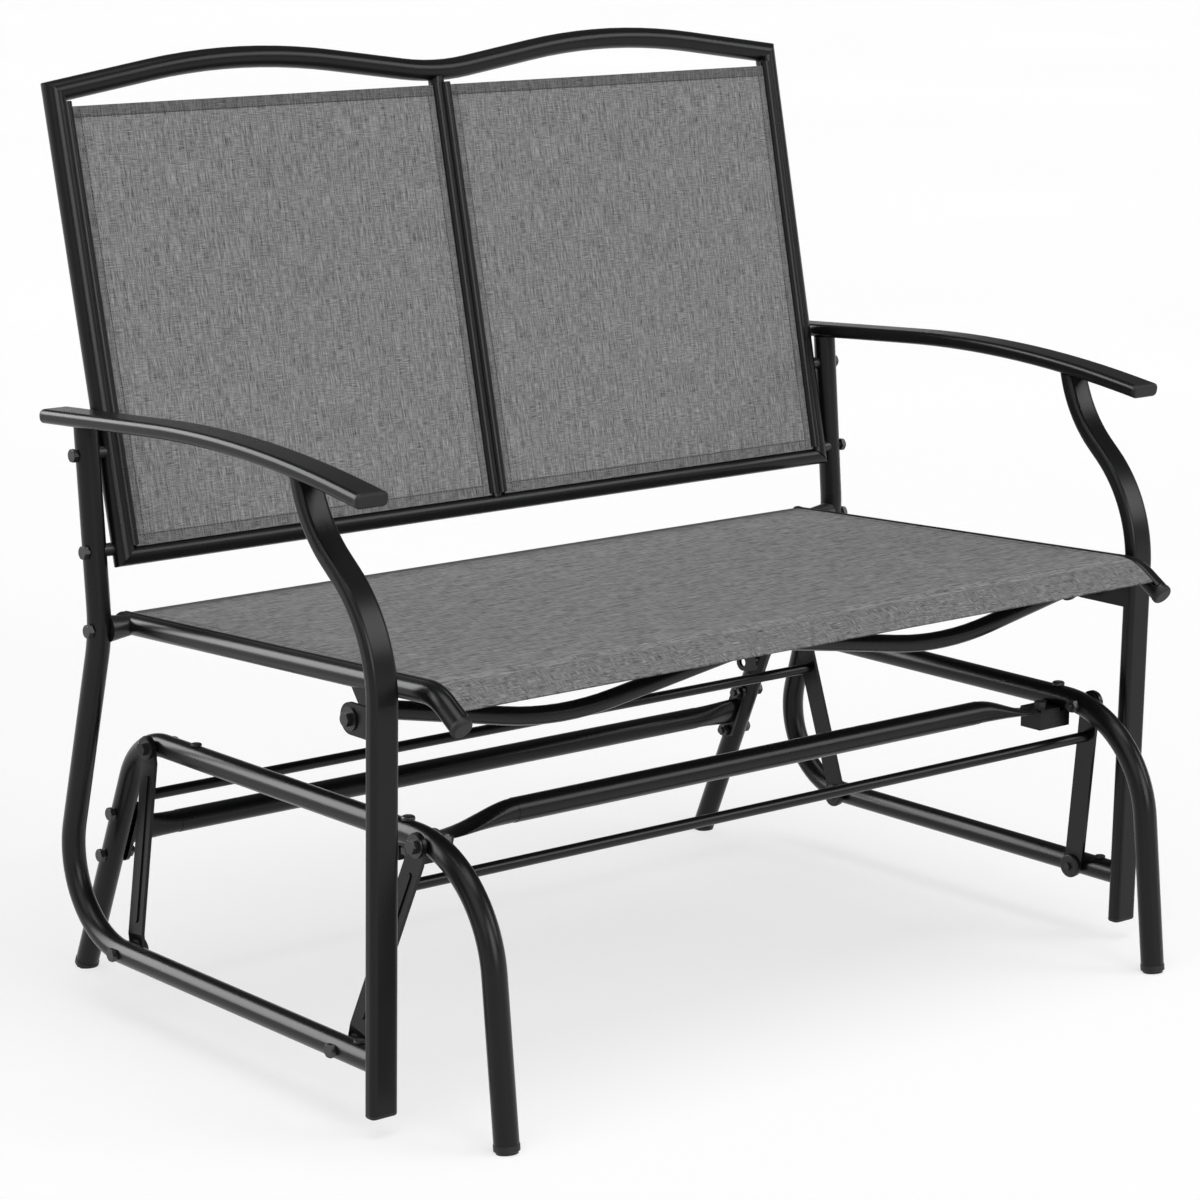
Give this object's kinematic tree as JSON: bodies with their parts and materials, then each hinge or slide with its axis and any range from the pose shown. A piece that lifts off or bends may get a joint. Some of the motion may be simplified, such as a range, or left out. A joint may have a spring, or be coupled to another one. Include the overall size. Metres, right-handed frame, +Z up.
{
  "type": "patio glider bench",
  "caption": "Two-seat patio glider bench: bent steel base arches carry a sling seat and back on swinging flat links, with curved armrests.",
  "frame": {"origin": "On the floor, under the middle of the four feet.", "axes": "+X along the width of the bench, -Y to the front where the sitters face, +Z up."},
  "size_m": [1.083, 0.7857, 1.0037],
  "materials": {
    "frame": "satin black powder coat",
    "fastener": "blackened steel",
    "plastic": "moulded black",
    "sling": "woven grey mesh"
  },
  "bodies": {
    "base": {"arch_left": "frame", "arch_right": "frame", "foot_caps": "plastic", "front_cross_tube": "frame", "front_cross_brackets": "frame", "front_bracket_bolts": "fastener", "front_bracket_nuts": "fastener", "rear_cross_tube": "frame", "rear_cross_plates": "frame", "rear_leg_ear": "frame", "rear_leg_bolts": "fastener", "rear_leg_nuts": "fastener", "upper_pivot_bolts": "fastener", "upper_pivot_nuts": "fastener", "bar_plugs": "plastic"},
    "rear_swing": {"rear_link_left": "frame", "rear_link_right": "frame", "rear_tie_rod": "frame", "rear_upper_bushes": "plastic", "rear_lower_bushes": "plastic"},
    "front_swing": {"front_link_left": "frame", "front_link_right": "frame", "front_tie_rod": "frame", "front_upper_bushes": "plastic", "front_lower_bushes": "plastic"},
    "carriage": {"armrest_left": "frame", "armrest_plugs": "plastic", "armrest_right": "frame", "back_bottom_rail": "frame", "back_centre_bar": "frame", "back_sling_left": "sling", "back_sling_right": "sling", "back_stile_left": "frame", "back_stile_right": "frame", "back_top_rail": "frame", "frame_bolts": "fastener", "frame_nuts": "fastener", "frame_spacers": "fastener", "front_post_caps": "plastic", "front_post_left": "frame", "front_post_right": "frame", "front_spreader": "frame", "lower_pivot_bolts": "fastener", "lower_pivot_nuts": "plastic", "post_lugs": "frame", "rail_hangers": "frame", "rear_spreader": "frame", "runner_plugs": "plastic", "seat_rail_caps": "plastic", "seat_rail_left": "frame", "seat_rail_right": "frame", "seat_sling": "sling", "side_tube_left": "frame", "side_tube_right": "frame"}
  },
  "joints": [
    {"name": "rear_links", "type": "hinge", "parent": "base", "child": "rear_swing", "pos_m": [0, 0.216, 0.28361], "axis": [1, 0, 0], "range_deg": [-12, 12]},
    {"name": "front_links", "type": "hinge", "parent": "base", "child": "front_swing", "pos_m": [0, -0.263, 0.28139], "axis": [1, 0, 0], "range_deg": [-12.6, 12.6]},
    {"name": "seat_pivot", "type": "hinge", "parent": "rear_swing", "child": "carriage", "pos_m": [0, 0.192, 0.074], "axis": [1, 0, 0], "range_deg": [-15, 15]}
  ],
  "couplings": [
    {"joint": "front_links", "follows": "rear_links", "ratio": 1.01},
    {"joint": "seat_pivot", "follows": "rear_links", "ratio": -1.205}
  ]
}
